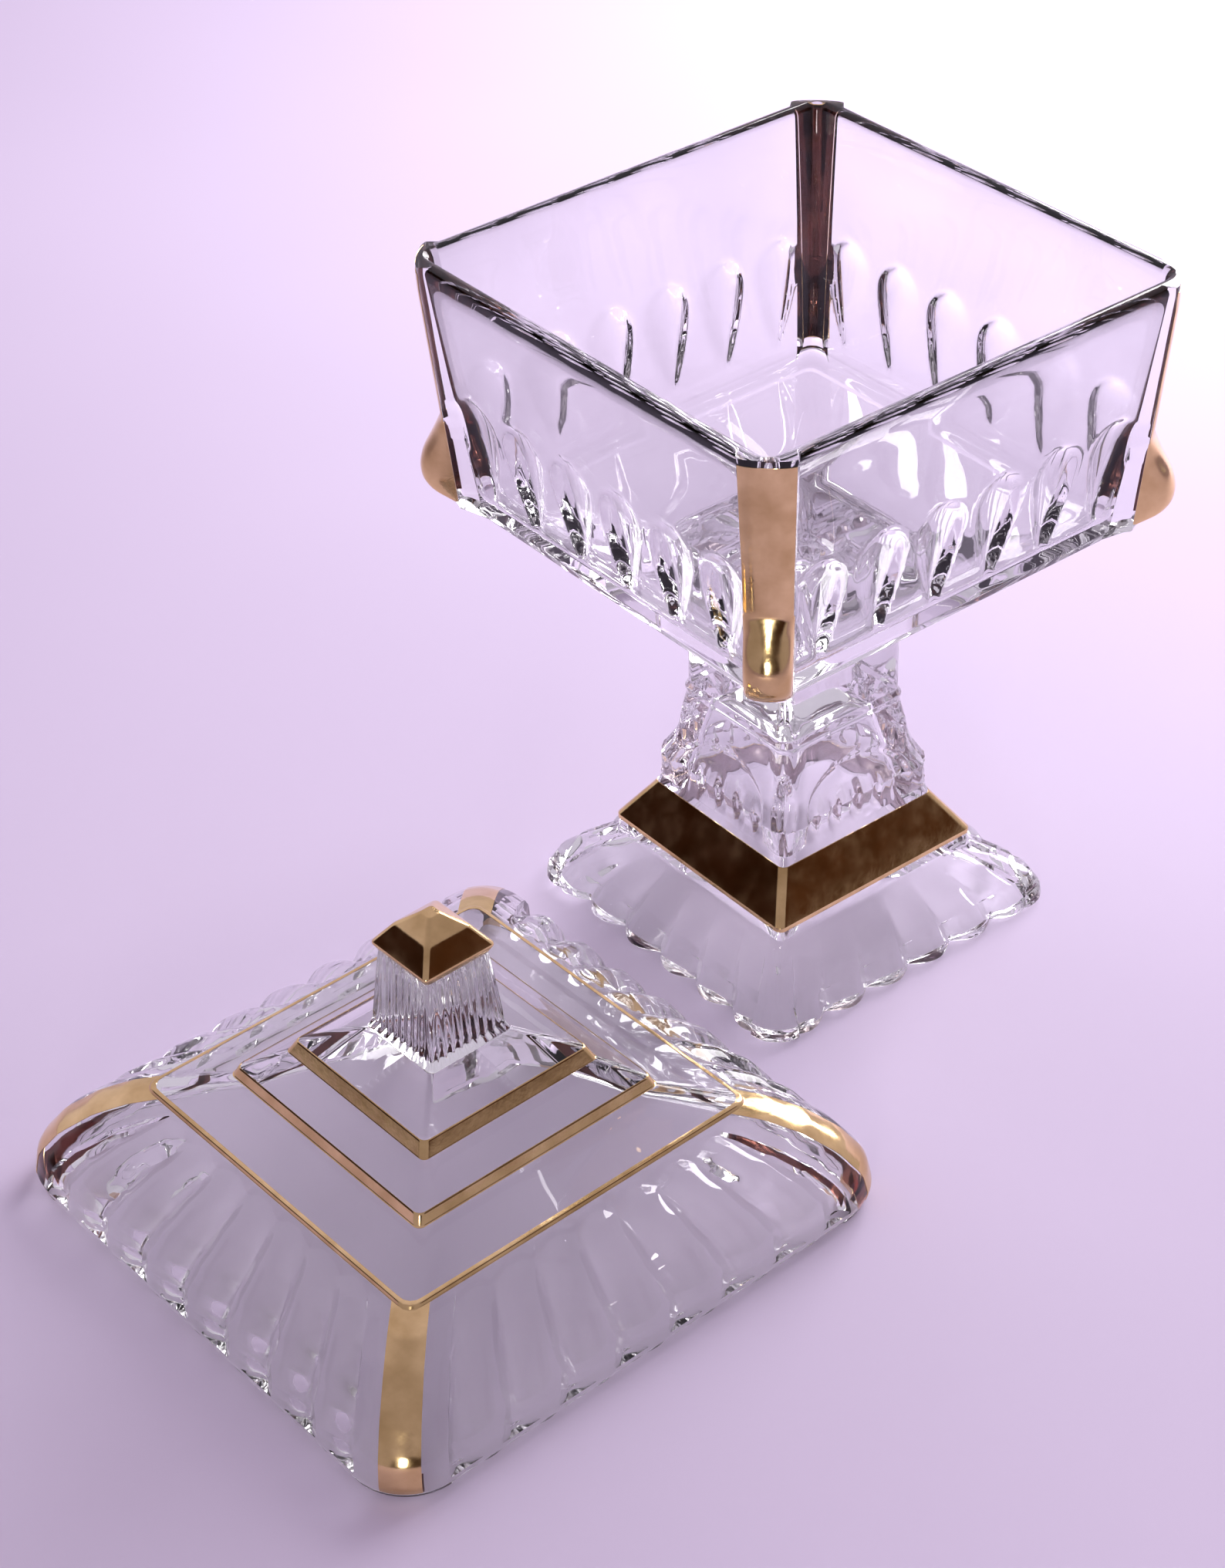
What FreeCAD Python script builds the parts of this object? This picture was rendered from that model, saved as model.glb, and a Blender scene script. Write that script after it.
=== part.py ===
import FreeCAD, Part
import os
import Sketcher

# A square covered box of pressed glass on a footed stem, with fired gold trim.
# Frame: millimetres, +Z up, origin at the middle of the foot's underside, the
# bowl's walls square to X and Y. The lid lies right way up beside the foot.

DEG_PER_TURN = 360.0

# ---------------------------------------------------------------- driving sizes
# Every level of a moulding is a rounded square: half width, corner radius, height.
LEVELS = {
    # bowl, from the rim down to its seat on the pedestal
    "rim": (54.0, 7.7, 150.0),
    "waist": (47.2, 5.0, 95.0),
    "heel": (46.2, 5.0, 92.8),
    "belly": (43.6, 4.5, 91.3),
    "boss": (20.0, 3.0, 86.0),
    "seat": (17.0, 2.6, 84.0),
    # pedestal, from the seat down to the table
    "neck": (16.1, 2.5, 78.0),
    "cove": (16.1, 2.5, 52.0),
    "cove_mid": (17.2, 2.4, 45.5),
    "cove_low": (19.2, 2.2, 39.0),
    "plinth": (21.3, 2.0, 34.3),
    "plinth_foot": (20.3, 2.0, 28.4),
    "band": (20.8, 1.6, 26.4),
    "band_foot": (26.9, 1.6, 17.2),
    "band_hem": (26.9, 1.6, 16.3),
    "band_lip": (26.9, 1.6, 13.8),
    "foot_crown": (27.1, 2.0, 13.6),
    "foot_edge": (37.9, 5.0, 6.4),
    "foot_rim": (40.0, 7.0, 1.5),
    "foot_base": (40.0, 7.0, 0.0),
    # hollow that runs up from the foot's underside into the stem
    "foot_mouth": (36.0, 5.5, 0.0),
    "foot_cheek": (33.0, 4.5, 4.0),
    "foot_vault": (25.0, 3.6, 9.4),
    "foot_throat": (19.5, 3.2, 15.5),
    "stem_mouth": (15.6, 3.0, 25.0),
    "stem_wall": (14.4, 2.8, 34.0),
    "stem_vault": (12.0, 2.8, 44.0),
    "stem_brow": (10.8, 2.8, 49.0),
    "stem_roof": (7.0, 2.6, 51.5),
    # lid, from its edge up to the finial's seat
    "lid_edge": (61.2, 12.0, 0.0),
    "lid_lobe": (61.4, 12.0, 3.0),
    "lid_cheek": (60.4, 11.4, 8.0),
    "lid_shoulder": (56.6, 9.6, 13.5),
    "lid_brow": (51.0, 7.0, 18.2),
    "lid_crest": (45.6, 4.2, 21.2),
    "line": (41.0, 2.5, 22.7),
    "line_top": (40.9, 2.5, 23.5),
    "lower_step": (28.9, 1.5, 26.7),
    "lower_step_top": (28.1, 1.5, 28.7),
    "upper_step": (21.0, 1.3, 33.0),
    "upper_step_top": (19.7, 1.3, 35.6),
    "finial_seat": (9.9, 1.2, 40.0),
    # hollow underside of the lid, its wall leaning in to rest on the bowl's rim
    "lid_mouth": (58.0, 9.8, 0.0),
    "lid_skirt": (57.2, 9.4, 3.6),
    "lid_throat": (55.4, 8.6, 7.2),
    "lid_wall": (52.2, 7.4, 11.0),
    "lid_vault": (47.8, 5.6, 14.6),
    "lid_haunch": (43.4, 4.0, 17.0),
    "lid_ceiling": (38.6, 3.0, 18.6),
    "lid_lantern": (25.5, 2.0, 22.9),
    "lid_roof": (15.5, 1.5, 28.6),
    # finial
    "finial_waist": (9.0, 1.0, 41.6),
    "finial_neck": (7.4, 0.9, 58.4),
    "cap_eave": (8.4, 0.9, 60.2),
    "cap_hip": (5.2, 0.9, 64.4),
    "cap_tip": (1.4, 0.7, 67.4),
}

# Each level of a corner rib: distance of its root and of its crest from the
# bowl's axis, its width, and its height above the table.
RIB_LEVELS = {
    "rib_top": (69.6, 72.9, 10.2, 146.0),
    "rib_brow": (64.3, 69.9, 8.9, 115.4),
    "rib_flare": (63.4, 72.6, 8.8, 110.4),
    "rib_fin": (62.6, 75.2, 8.7, 104.6),
    "rib_chin": (61.9, 75.0, 8.5, 100.2),
    "rib_heel": (61.5, 72.6, 8.2, 97.0),
    "rib_tail": (61.3, 68.6, 7.6, 95.2),
}

SIZES = {
    "wall": (3.4, "bowl wall, rim to floor"),
    "bowl_floor": (96.4, "height of the bowl's inner floor"),
    "inner_corner": (2.6, "radius of the bowl's inner corners"),
    "gilding": (0.4, "thickness that stands for the fired gold"),
    "step_gap": (0.1, "rise of a ledge between two levels"),
    "stripe_low": (5.0, "lower end of a lid corner's gold stripe"),
    "stripe_inner": (52.0, "distance of a stripe's inner end from the lid's axis"),
    "stripe_outer": (86.0, "distance of a stripe's outer end from the lid's axis"),
    "stripe_inner_width": (7.0, "stripe width at its inner end"),
    "stripe_outer_width": (10.4, "stripe width at its outer end"),
    "lid_x": (27.6, "lid's axis on the table"),
    "lid_y": (-112.4, "lid's axis on the table"),
    "lid_turn": (2.36, "lid's turn about its axis"),
}

CORNERS = {"front": -45.0, "right": 45.0, "back": 135.0, "left": 225.0}

doc = FreeCAD.newDocument("covered_box")
sheet = doc.addObject("Spreadsheet::Sheet", "Sizes")


def fill_sheet():
    """Write one row per driving size: its name, its value and what it is."""
    rows = []
    for name, (half, corner, height) in LEVELS.items():
        rows.append((name + "_half", half, "half width of the level"))
        rows.append((name + "_corner", corner, "corner radius of the level"))
        rows.append((name + "_height", height, "height of the level"))
    for name, (root, crest, width, height) in RIB_LEVELS.items():
        rows.append((name + "_root", root, "rib's root from the axis"))
        rows.append((name + "_crest", crest, "rib's crest from the axis"))
        rows.append((name + "_width", width, "rib's width"))
        rows.append((name + "_height", height, "height of the rib's level"))
    for name, (value, meaning) in SIZES.items():
        rows.append((name, value, meaning))
    for number, (name, value, meaning) in enumerate(rows, start=1):
        sheet.set(f"A{number}", name)
        sheet.set(f"B{number}", str(value))
        sheet.set(f"C{number}", meaning)
        sheet.setAlias(f"B{number}", name)
    doc.recompute()


def size(expression):
    """Present value of an expression over the sheet, as a plain number."""
    return float(sheet.evalExpression(expression))


def origin_plane(body, role):
    """The body's own origin plane or axis with this role."""
    return next(f for f in body.Origin.OriginFeatures if f.Role == role)


def level_sketch(body, name, height, turn=0.0):
    """Empty sketch, level at the height and turned about the body's Z axis."""
    sketch = body.newObject("Sketcher::SketchObject", name)
    sketch.AttachmentSupport = (origin_plane(body, "XY_Plane"), [""])
    sketch.MapMode = "FlatFace"
    upright = FreeCAD.Vector(0, 0, 1)
    sketch.AttachmentOffset = FreeCAD.Placement(
        FreeCAD.Vector(0, 0, size(height)), FreeCAD.Rotation(upright, turn)
    )
    sketch.setExpression("AttachmentOffset.Base.z", height)
    return sketch


def bind(sketch, constraint, expression):
    """Add a dimension to the sketch and drive it from the sheet."""
    index = sketch.addConstraint(constraint)
    sketch.setExpression(f"Constraints[{index}]", expression)


def rounded_square(body, name, half, corner, height):
    """Rounded square centred on the Z axis: four sides joined by tangent arcs."""
    sketch = level_sketch(body, name, height)
    a = size(half)
    r = size(corner)
    straight = a - r
    quarter = 90.0
    up = FreeCAD.Vector(0, 0, 1)
    spin = [FreeCAD.Rotation(up, quarter * k) for k in range(4)]
    for k in range(4):
        start = spin[k].multVec(FreeCAD.Vector(a, -straight, 0))
        end = spin[k].multVec(FreeCAD.Vector(a, straight, 0))
        sketch.addGeometry(Part.LineSegment(start, end))
        middle = spin[k].multVec(FreeCAD.Vector(straight, straight, 0))
        circle = Part.Circle(middle, up, r)
        first = FreeCAD.Units.Quantity(f"{quarter * k} deg").getValueAs("rad").Value
        last = FreeCAD.Units.Quantity(f"{quarter * (k + 1)} deg").getValueAs("rad").Value
        sketch.addGeometry(Part.ArcOfCircle(circle, first, last))
    for k in range(4):
        side = 2 * k
        arc = side + 1
        following = (side + 2) % 8
        sketch.addConstraint(Sketcher.Constraint("Tangent", side, 2, arc, 1))
        sketch.addConstraint(Sketcher.Constraint("Tangent", arc, 2, following, 1))
        sketch.addConstraint(Sketcher.Constraint("Horizontal" if k % 2 else "Vertical", side))
    for k in range(1, 4):
        sketch.addConstraint(Sketcher.Constraint("Equal", 1, 2 * k + 1))
    bind(sketch, Sketcher.Constraint("Radius", 1, r), corner)
    bind(sketch, Sketcher.Constraint("DistanceX", -1, 1, 0, 1, a), half)
    bind(sketch, Sketcher.Constraint("DistanceY", -1, 1, 2, 1, a), half)
    bind(sketch, Sketcher.Constraint("DistanceX", 4, 1, -1, 1, a), half)
    bind(sketch, Sketcher.Constraint("DistanceY", 6, 1, -1, 1, a), half)
    return sketch


def level(name, inset="0", rise="0"):
    """Expressions of a named level, drawn in by inset all round and raised by rise."""
    return (
        f"Sizes.{name}_half - {inset}",
        f"Sizes.{name}_corner",
        f"Sizes.{name}_height + {rise}",
    )


def moulding(label, levels):
    """Body of square plan, its sides running straight from one level to the next."""
    body = doc.addObject("PartDesign::Body", label)
    sketches = [
        rounded_square(body, f"{label}_level_{number}", *sizes)
        for number, sizes in enumerate(levels, start=1)
    ]
    loft = body.newObject("PartDesign::AdditiveLoft", f"{label}_loft")
    loft.Profile = sketches[0]
    loft.Sections = sketches[1:]
    loft.Ruled = True
    return body


def outline(sketch, corners):
    """Closed straight-sided outline through the corners, each a pair of expressions."""
    places = [FreeCAD.Vector(size(x), size(y), 0) for x, y in corners]
    count = len(places)
    for k in range(count):
        sketch.addGeometry(Part.LineSegment(places[k], places[(k + 1) % count]))
    for k in range(count):
        sketch.addConstraint(Sketcher.Constraint("Coincident", k, 2, (k + 1) % count, 1))
        x, y = corners[k]
        bind(sketch, Sketcher.Constraint("DistanceX", -1, 1, k, 1, places[k].x), x)
        bind(sketch, Sketcher.Constraint("DistanceY", -1, 1, k, 1, places[k].y), y)


def rib_section(body, name, rib_level, turn, inset):
    """One level of a corner rib: a flat root, two cheeks and a rounded crest."""
    root, crest, width, height = (
        f"Sizes.{rib_level}_{part}" for part in ("root", "crest", "width", "height")
    )
    side = f"({width} / 2 - {inset})"
    drop = f"min({side} * 0.55; ({crest} - {root}) * 0.6)"
    nose = f"{crest} - {inset}"
    brow = f"{crest} - {inset} - {drop} * 0.35"
    cheek = f"{crest} - {inset} - {drop}"
    rising = [
        (root, side),
        (cheek, side),
        (brow, f"({side} * 0.75)"),
        (nose, f"({side} * 0.35)"),
    ]
    sketch = level_sketch(body, name, height, turn)
    outline(sketch, [(x, f"0 - {y}") for x, y in rising] + rising[::-1])
    return sketch


def rib_loft(body, label, kind, turn, inset="0"):
    """Corner rib lofted through its levels, from just under the rim to its tail."""
    sketches = [
        rib_section(body, f"{label}_{rib_level}", rib_level, turn, inset)
        for rib_level in RIB_LEVELS
    ]
    loft = body.newObject(kind, f"{label}_loft")
    loft.Profile = sketches[0]
    loft.Sections = sketches[1:]
    loft.Ruled = True
    return loft


def cut(label, base, tool):
    """The base with the tool's shape taken away."""
    result = doc.addObject("Part::Cut", label)
    result.Base = base
    result.Tool = tool
    return result


# ------------------------------------------------------------------- base glass
def make_bowl_blank():
    """Solid bowl with its four glass ribs, before it is hollowed."""
    names = ("rim", "waist", "heel", "belly", "boss", "seat")
    body = moulding("bowl_blank", [level(name) for name in names])
    rib = rib_loft(body, "glass_rib", "PartDesign::AdditiveLoft", CORNERS["front"],
                   "Sizes.gilding")
    pattern = body.newObject("PartDesign::PolarPattern", "glass_ribs")
    pattern.Originals = [rib]
    pattern.Axis = (origin_plane(body, "Z_Axis"), [""])
    pattern.Angle = DEG_PER_TURN
    pattern.Occurrences = len(CORNERS)
    body.Tip = pattern
    return body


def make_bowl_hollow():
    """The bowl's inside, one wall thickness in from the outside."""
    top = ("Sizes.rim_half - Sizes.wall", "Sizes.inner_corner",
           "Sizes.rim_height + Sizes.step_gap")
    floor = ("Sizes.waist_half - Sizes.wall", "Sizes.inner_corner", "Sizes.bowl_floor")
    return moulding("bowl_hollow", [top, floor])


BAND = ("band", "band_foot", "band_hem")


def make_pedestal_blank():
    """Stem, plinth and foot, drawn in where the gold band covers the glass."""
    skin = "Sizes.gilding"
    levels = [level(name) for name in
              ("seat", "neck", "cove", "cove_mid", "cove_low", "plinth", "plinth_foot")]
    levels += [level(name, skin) for name in BAND]
    levels.append(level("band_hem", "0", "(0 - Sizes.step_gap)"))
    names = ("band_lip", "foot_crown", "foot_edge", "foot_rim", "foot_base")
    levels += [level(name) for name in names]
    return moulding("pedestal_blank", levels)


def make_pedestal_hollow():
    """The hollow under the foot and up the stem."""
    names = ("foot_mouth", "foot_cheek", "foot_vault", "foot_throat", "stem_mouth",
             "stem_wall", "stem_vault", "stem_brow", "stem_roof")
    return moulding("pedestal_hollow", [level(name) for name in names])


# -------------------------------------------------------------------- lid glass
SHOULDER = ("lid_edge", "lid_lobe", "lid_cheek", "lid_shoulder", "lid_brow", "lid_crest")


def make_lid_blank():
    """The lid's stepped outside as a solid, with ledges that carry the gold."""
    skin = "Sizes.gilding"
    under = "(0 - Sizes.step_gap)"
    levels = [level(name) for name in SHOULDER]
    levels += [
        level("line", "0", under),
        level("line", "0.7"),
        level("line_top", "0.7"),
        level("lower_step", "0", under),
        level("lower_step", skin),
        level("lower_step_top", skin),
        level("upper_step", "0", under),
        level("upper_step", skin),
        level("upper_step_top", skin),
        level("finial_seat"),
    ]
    return moulding("lid_blank", levels)


def make_lid_hollow():
    """The lid's hollow, about one wall thickness in from its outside all over."""
    names = ("lid_mouth", "lid_skirt", "lid_throat", "lid_wall", "lid_vault", "lid_haunch",
             "lid_ceiling", "lid_lantern", "lid_roof")
    return moulding("lid_hollow", [level(name) for name in names])


def cap_core():
    """Levels of the finial's tip, drawn in where the gold cap covers the glass."""
    skin = "Sizes.gilding"
    return [level(name, skin) for name in ("finial_neck", "cap_eave", "cap_hip")] + [
        level("cap_tip", skin, f"(0 - {skin})")
    ]


def make_finial():
    """Square knob that stands on the lid, with a ledge that carries its gold cap."""
    shaft = [
        level("finial_seat"),
        level("finial_waist"),
        level("finial_neck", "0", "(0 - Sizes.step_gap)"),
    ]
    return moulding("lid_finial", shaft + cap_core())


# ---------------------------------------------------------------------- gilding
def sleeve(label, names, inset="Sizes.gilding"):
    """Gold skin round a moulding, from the first named level to the last."""
    outside = moulding(f"{label}_outside", [level(name) for name in names])
    inside = moulding(f"{label}_inside", [level(name, inset) for name in names])
    return cut(label, outside, inside)


def make_corner_gilding(place, turn, bowl_blank):
    """Gold skin over one of the bowl's corner ribs."""
    label = f"bowl_gilding_{place}"
    rib = doc.addObject("PartDesign::Body", f"{label}_rib")
    rib_loft(rib, label, "PartDesign::AdditiveLoft", turn)
    return cut(label, rib, bowl_blank)


def make_shoulder_skin():
    """The lid's shoulder grown by the thickness of the gold."""
    grow = "(0 - Sizes.gilding)"
    levels = [level(name, grow) for name in SHOULDER]
    levels.append(level("line", "0", "(0 - Sizes.step_gap)"))
    return moulding("lid_shoulder_skin", levels)


def make_stripe(place, turn, skin, lid_blank):
    """Gold stripe down one corner of the lid, widening towards the edge."""
    label = f"lid_gilding_{place}"
    strip = doc.addObject("PartDesign::Body", f"{label}_strip")
    sketch = level_sketch(strip, f"{label}_plan", "Sizes.stripe_low", turn)
    narrow = "Sizes.stripe_inner_width / 2"
    wide = "Sizes.stripe_outer_width / 2"
    outline(
        sketch,
        [
            ("Sizes.stripe_inner", f"0 - {narrow}"),
            ("Sizes.stripe_outer", f"0 - {wide}"),
            ("Sizes.stripe_outer", wide),
            ("Sizes.stripe_inner", narrow),
        ],
    )
    pad = strip.newObject("PartDesign::Pad", f"{label}_pad")
    pad.Profile = sketch
    pad.setExpression("Length", "Sizes.line_height - Sizes.stripe_low")
    common = doc.addObject("Part::MultiCommon", f"{label}_patch")
    common.Shapes = [skin, strip]
    return cut(label, common, lid_blank)


def make_cap():
    """Gold cap over the finial's tip."""
    names = ("finial_neck", "cap_eave", "cap_hip", "cap_tip")
    outside = moulding("cap_outside", [level(name) for name in names])
    return cut("finial_cap_gilding", outside, moulding("cap_inside", cap_core()))


def lay_beside_foot(part):
    """Set a piece of the lid down on the table beside the foot."""
    upright = FreeCAD.Rotation(FreeCAD.Vector(0, 0, 1), size("Sizes.lid_turn"))
    part.Placement = FreeCAD.Placement(FreeCAD.Vector(0, 0, 0), upright)
    part.setExpression("Placement.Base.x", "Sizes.lid_x")
    part.setExpression("Placement.Base.y", "Sizes.lid_y")
    part.setExpression("Placement.Rotation.Angle", "Sizes.lid_turn")


def check_and_export(parts):
    """Stop on a failed object or an open shape, then write one STEP per piece."""
    for item in doc.Objects:
        if "Invalid" in item.State or "Error" in item.State:
            raise RuntimeError(f"{item.Name} failed: {item.State}")
    for part in parts:
        shape = part.Shape
        if shape.isNull() or not shape.isValid() or not shape.Solids:
            raise RuntimeError(f"{part.Label} has no valid solid")
    os.makedirs("parts", exist_ok=True)
    for part in parts:
        part.Shape.exportStep(f"parts/{part.Label}.step")
        box = part.Shape.BoundBox
        print(f"{part.Label:24s} solids {len(part.Shape.Solids)} volume {part.Shape.Volume:10.1f}"
              f"  x {box.XMin:7.2f} {box.XMax:7.2f}  y {box.YMin:7.2f} {box.YMax:7.2f}"
              f"  z {box.ZMin:7.2f} {box.ZMax:7.2f}")


fill_sheet()

bowl_blank = make_bowl_blank()
base_parts = [
    cut("bowl_glass", bowl_blank, make_bowl_hollow()),
    cut("pedestal_glass", make_pedestal_blank(), make_pedestal_hollow()),
    sleeve("foot_band_gilding", BAND),
]
for corner_name, corner_turn in CORNERS.items():
    base_parts.append(make_corner_gilding(corner_name, corner_turn, bowl_blank))

lid_blank = make_lid_blank()
shoulder_skin = make_shoulder_skin()
lid_parts = [
    cut("lid_glass", lid_blank, make_lid_hollow()),
    make_finial(),
    make_cap(),
    sleeve("lid_line_gilding", ("line", "line_top"), "0.7"),
    sleeve("lid_lower_step_gilding", ("lower_step", "lower_step_top")),
    sleeve("lid_upper_step_gilding", ("upper_step", "upper_step_top")),
]
for corner_name, corner_turn in CORNERS.items():
    lid_parts.append(make_stripe(corner_name, corner_turn, shoulder_skin, lid_blank))

doc.recompute()
for lid_part in lid_parts:
    lay_beside_foot(lid_part)
doc.recompute()

check_and_export(base_parts + lid_parts)
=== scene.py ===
"""Looks of a square covered box of pressed glass with fired gold trim.

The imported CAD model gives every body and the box's outer sizes. The clear glass
is rebuilt here as two closed mouldings, the base and the loose lid, with the
pressed ornament that catches the light: thumbprints round the bowl, arches and
flutes on the stem, petals on the foot, gadroons on the lid and reeds on its
knob. The fired gold is a thin skin lifted off those same surfaces.

Each moulding is one grid: rings of rounded squares, from the first row of its
profile to the last, so that glass and gold share their points.

Lengths in this script are millimetres until a mesh is made, then metres.
"""

import math

import bpy
import numpy as np
from mathutils import Matrix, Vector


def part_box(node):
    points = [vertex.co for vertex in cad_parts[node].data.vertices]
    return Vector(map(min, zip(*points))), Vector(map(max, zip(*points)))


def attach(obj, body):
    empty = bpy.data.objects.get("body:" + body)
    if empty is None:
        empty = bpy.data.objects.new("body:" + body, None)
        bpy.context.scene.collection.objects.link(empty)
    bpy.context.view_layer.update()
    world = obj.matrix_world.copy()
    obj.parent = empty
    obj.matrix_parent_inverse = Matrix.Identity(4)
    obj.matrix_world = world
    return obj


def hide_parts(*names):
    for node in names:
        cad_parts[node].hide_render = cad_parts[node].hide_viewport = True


MM = 0.001

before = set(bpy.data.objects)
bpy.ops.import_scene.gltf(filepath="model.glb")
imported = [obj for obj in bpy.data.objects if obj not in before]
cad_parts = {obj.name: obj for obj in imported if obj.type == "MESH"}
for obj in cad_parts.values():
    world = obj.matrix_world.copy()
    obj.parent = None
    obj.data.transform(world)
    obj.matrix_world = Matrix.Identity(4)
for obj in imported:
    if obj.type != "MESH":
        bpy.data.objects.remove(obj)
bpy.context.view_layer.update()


def node_box(node):
    """Lowest and highest corner of a CAD node, in millimetres."""
    low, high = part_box(node)
    return np.array(low) / MM, np.array(high) / MM


# ---------------------------------------------------------------- driving sizes
# Heights and half widths that the CAD already fixes.
FOOT_HIGH = node_box("pedestal_glass")[1]
BAND_LOW, BAND_HIGH = node_box("foot_band_gilding")
CAP_LOW, CAP_HIGH = node_box("finial_cap_gilding")

FOOT_HALF = FOOT_HIGH[0]
SEAT_HEIGHT = FOOT_HIGH[2]
RIM_HEIGHT = node_box("bowl_glass")[1][2]
BAND_HALF = BAND_HIGH[0]
LID_CENTRE = (CAP_LOW + CAP_HIGH) / 2
# The lid's turn on the table about its own axis.
LID_TURN = math.radians(2.36)

# Half widths and heights of the bowl's wall, from the CAD's table of levels.
RIM_HALF = 54.0
WALL_HALF = 47.2
WALL_FOOT = 95.0
BOWL_FLOOR = 96.4
WALL = 3.4

# The gold stands off the glass by LIFT and sinks into it by SINK.
LIFT = 0.12
SINK = 0.06

# ------------------------------------------------------------------ rows and columns
SIDE_COLUMNS = 88
CORNER_COLUMNS = 15
# A corner rib's crest ends just inside its zone. Each cheek has a column between its
# foot and the crest's edge, where the rib's clear shaft ends and the gilded fin starts.
CREST_SHARE = 0.94
CHEEK_SHARE = 0.97
# Rows of the arc that joins two straight runs of a profile, its ends counted, and how
# much of a run an arc may take up.
ARC_ROWS = 4
ARC_ROOM = 0.48


def columns():
    """Places of the columns round one quarter of a ring.

    A side column is a share from -1 to 1 along the straight part. A corner column
    is a share from -1 to 1 across the corner's zone, with the first one at the
    zone's very edge.
    """
    side = np.linspace(-1.0, 1.0, SIDE_COLUMNS, endpoint=False)
    crest = np.linspace(-CREST_SHARE, CREST_SHARE, CORNER_COLUMNS)
    corner = np.concatenate([[-1.0, -CHEEK_SHARE], crest, [CHEEK_SHARE]])
    return side, corner


SIDE, CORNER = columns()
QUARTER = len(SIDE) + len(CORNER)


def profile(stations):
    """Rows of a moulding's profile, as arrays of half width, height and the rest.

    Each station is (half width, height, corner radius, corner zone, bend, rows).
    Straight runs join the stations and hold that many rows. Where two runs meet
    they are joined by an arc of the bend radius, tangent to both, of ARC_ROWS rows.
    The normal is the run's direction turned a quarter to the left.
    """
    spots = np.array([s[:2] for s in stations])
    extra = np.array([s[2:4] for s in stations])
    bends = np.array([s[4] for s in stations])
    steps = np.diff(spots, axis=0)
    lengths = np.hypot(steps[:, 0], steps[:, 1])
    heading = steps / lengths[:, None]
    trims = np.zeros(len(stations))
    turns = np.zeros(len(stations))
    for k in range(1, len(stations) - 1):
        before, after = heading[k - 1], heading[k]
        turns[k] = math.atan2(before[0] * after[1] - before[1] * after[0], before @ after)
        room = ARC_ROOM * min(lengths[k - 1], lengths[k])
        trims[k] = min(bends[k] * math.tan(abs(turns[k]) / 2), room)
    rows, normals, extras = [], [], []
    for k, (step, length) in enumerate(zip(heading, lengths)):
        count = stations[k][5]
        share = np.linspace(trims[k], length - trims[k + 1], count + 1) / length
        if trims[k + 1] == 0 and k + 2 < len(stations):
            share = share[:-1]
        rows.append(spots[k] + share[:, None] * step * length)
        normals.append(np.tile([-step[1], step[0]], (len(share), 1)))
        extras.append(extra[k] + share[:, None] * (extra[k + 1] - extra[k]))
        if trims[k + 1] > 0:
            turn = turns[k + 1]
            radius = trims[k + 1] / math.tan(abs(turn) / 2)
            left = np.array([-step[1], step[0]])
            start = spots[k + 1] - step * trims[k + 1]
            angle = np.linspace(0, turn, ARC_ROWS)[1:-1, None]
            sign = math.copysign(1.0, turn)
            along = radius * np.sin(np.abs(angle))
            aside = radius * (1 - np.cos(angle)) * sign
            rows.append(start + along * step + aside * left)
            normals.append(np.cos(angle) * left - np.sin(angle) * step)
            extras.append(np.tile(extra[k + 1], (ARC_ROWS - 2, 1)))
    rows, normals, extras = map(np.concatenate, (rows, normals, extras))
    return {
        "half": rows[:, 0],
        "height": rows[:, 1],
        "corner": extras[:, 0],
        "zone": extras[:, 1],
        "out": normals[:, 0],
        "up": normals[:, 1],
    }


def smooth_through(x, places, values):
    """Cubic curve through the values, with the slope of their neighbours at each."""
    places, values = np.asarray(places, float), np.asarray(values, float)
    slopes = np.gradient(values, places)
    k = np.clip(np.searchsorted(places, x) - 1, 0, len(places) - 2)
    width = places[k + 1] - places[k]
    t = np.clip((x - places[k]) / width, 0, 1)
    return (
        (2 * t**3 - 3 * t**2 + 1) * values[k]
        + (t**3 - 2 * t**2 + t) * width * slopes[k]
        + (3 * t**2 - 2 * t**3) * values[k + 1]
        + (t**3 - t**2) * width * slopes[k + 1]
    )


# A rib's crest is rounded across by this much at its edges, and a fin's by this much
# more once it stands FIN_PROUD out of the shaft.
SHAFT_ROUNDING, FIN_ROUNDING = 1.4, 1.8
FIN_PROUD = 2.0
# Part of a half circle that the rounding takes, as the sine of its angle.
ROUND_EDGE = math.sin(1.4)


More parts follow.
